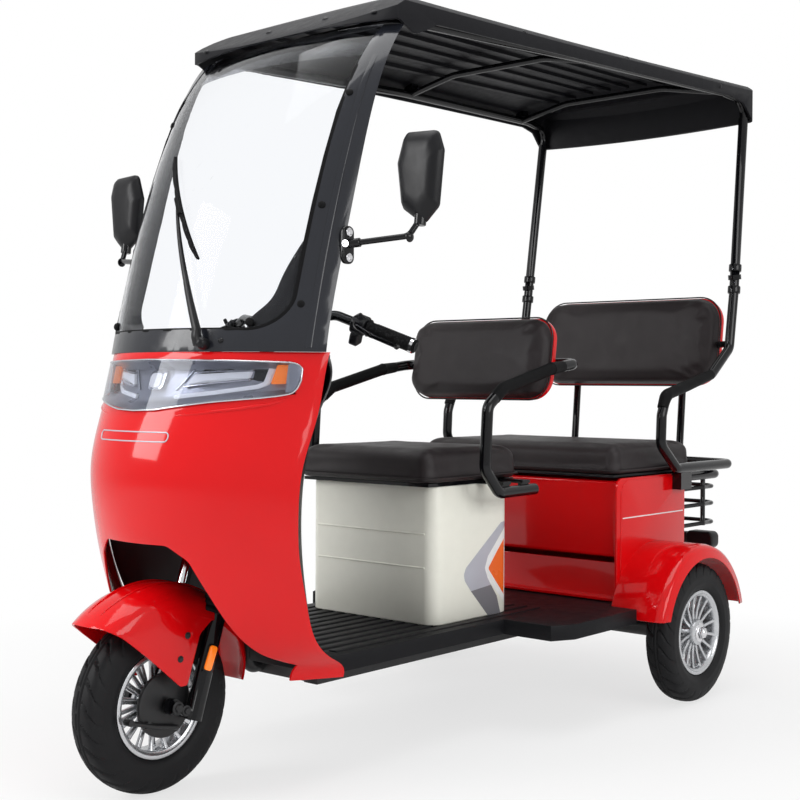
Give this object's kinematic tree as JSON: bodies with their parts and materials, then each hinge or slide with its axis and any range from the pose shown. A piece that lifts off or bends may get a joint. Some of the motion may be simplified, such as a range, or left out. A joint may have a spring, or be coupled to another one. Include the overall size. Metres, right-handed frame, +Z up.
{
  "type": "electric leisure tricycle with roof",
  "caption": "Electric leisure tricycle with windscreen, roof, driver's seat on a barrel, rear bench on a steel box, and a steered front wheel.",
  "frame": {"origin": "on the floor under the middle of the vehicle's box", "axes": "+X forward, +Y to the vehicle's left, +Z up"},
  "size_m": [2.17, 1.0592, 1.7871],
  "materials": {
    "tyre_rubber": "satin",
    "alloy": "machined",
    "black_steel": "gloss",
    "chrome": "polished",
    "black_plastic": "satin",
    "red_paint": "gloss",
    "ivory_plastic": "satin",
    "battery_case": "matte",
    "seat_leather": "smooth",
    "lamp_lens": "clear smoked",
    "lamp_red": "clear",
    "clear_screen": "clear"
  },
  "bodies": {
    "chassis": {"battery_pack": "battery_case", "dashboard": "black_plastic", "floor_board": "black_plastic", "front_fairing": "red_paint", "lamp_unit": "lamp_lens", "leaf_springs": "black_steel", "leg_shield": "black_plastic", "main_frame": "black_steel", "mirror_left": "black_plastic", "mirror_right": "black_plastic", "rear_axle": "black_steel", "rear_backrest": "seat_leather", "rear_backrest_shell": "red_paint", "rear_box": "red_paint", "rear_bumper": "black_steel", "rear_carrier": "black_steel", "rear_fender_left": "red_paint", "rear_fender_right": "red_paint", "rear_seat_frame": "black_steel", "roof_bows": "black_steel", "roof_frame": "black_steel", "roof_panel": "black_plastic", "seat_barrel": "ivory_plastic", "tail_lamps": "lamp_red", "windscreen": "clear_screen", "windscreen_frame": "black_plastic", "wiper": "black_plastic"},
    "front_wheel": {"front_tyre": "tyre_rubber", "front_rim": "alloy"},
    "steering": {"fork": "black_steel", "fork_tubes": "chrome", "front_fender": "red_paint", "front_brake_plate": "black_steel", "handlebar": "black_steel", "handlebar_controls": "black_plastic"},
    "rear_wheel_left": {"rear_left_tyre": "tyre_rubber", "rear_left_rim": "alloy"},
    "rear_wheel_right": {"rear_right_tyre": "tyre_rubber", "rear_right_rim": "alloy"},
    "front_seat": {"front_cushion": "seat_leather", "front_seat_frame": "black_steel", "front_backrest": "seat_leather", "front_backrest_shell": "red_paint"},
    "rear_seat_lid": {"rear_cushion": "seat_leather", "rear_seat_pan": "black_plastic"},
    "box_door": {"box_flap": "red_paint"}
  },
  "joints": [
    {"name": "steering_turn", "type": "hinge", "parent": "chassis", "child": "steering", "pos_m": [0.87, 0, 0.187], "axis": [-0.3746, 0, 0.9272], "range_deg": [-32, 32]},
    {"name": "front_wheel_spin", "type": "hinge", "parent": "steering", "child": "front_wheel", "pos_m": [0.898, 0, 0.187], "axis": [0, 1, 0], "continuous": true},
    {"name": "rear_wheel_left_spin", "type": "hinge", "parent": "chassis", "child": "rear_wheel_left", "pos_m": [-0.58, 0.4475, 0.187], "axis": [0, 1, 0], "continuous": true},
    {"name": "rear_wheel_right_spin", "type": "hinge", "parent": "chassis", "child": "rear_wheel_right", "pos_m": [-0.58, -0.4475, 0.187], "axis": [0, 1, 0], "continuous": true},
    {"name": "front_seat_tip", "type": "hinge", "parent": "chassis", "child": "front_seat", "pos_m": [0.226, 0, 0.6084], "axis": [0, 1, 0], "range_deg": [0, 50]},
    {"name": "rear_seat_lift", "type": "hinge", "parent": "chassis", "child": "rear_seat_lid", "pos_m": [-0.806, 0, 0.6045], "axis": [0, -1, 0], "range_deg": [0, 80]},
    {"name": "box_door_turn", "type": "hinge", "parent": "chassis", "child": "box_door", "pos_m": [-0.412, 0, 0.588], "axis": [0, -1, 0], "range_deg": [0, 80]}
  ]
}
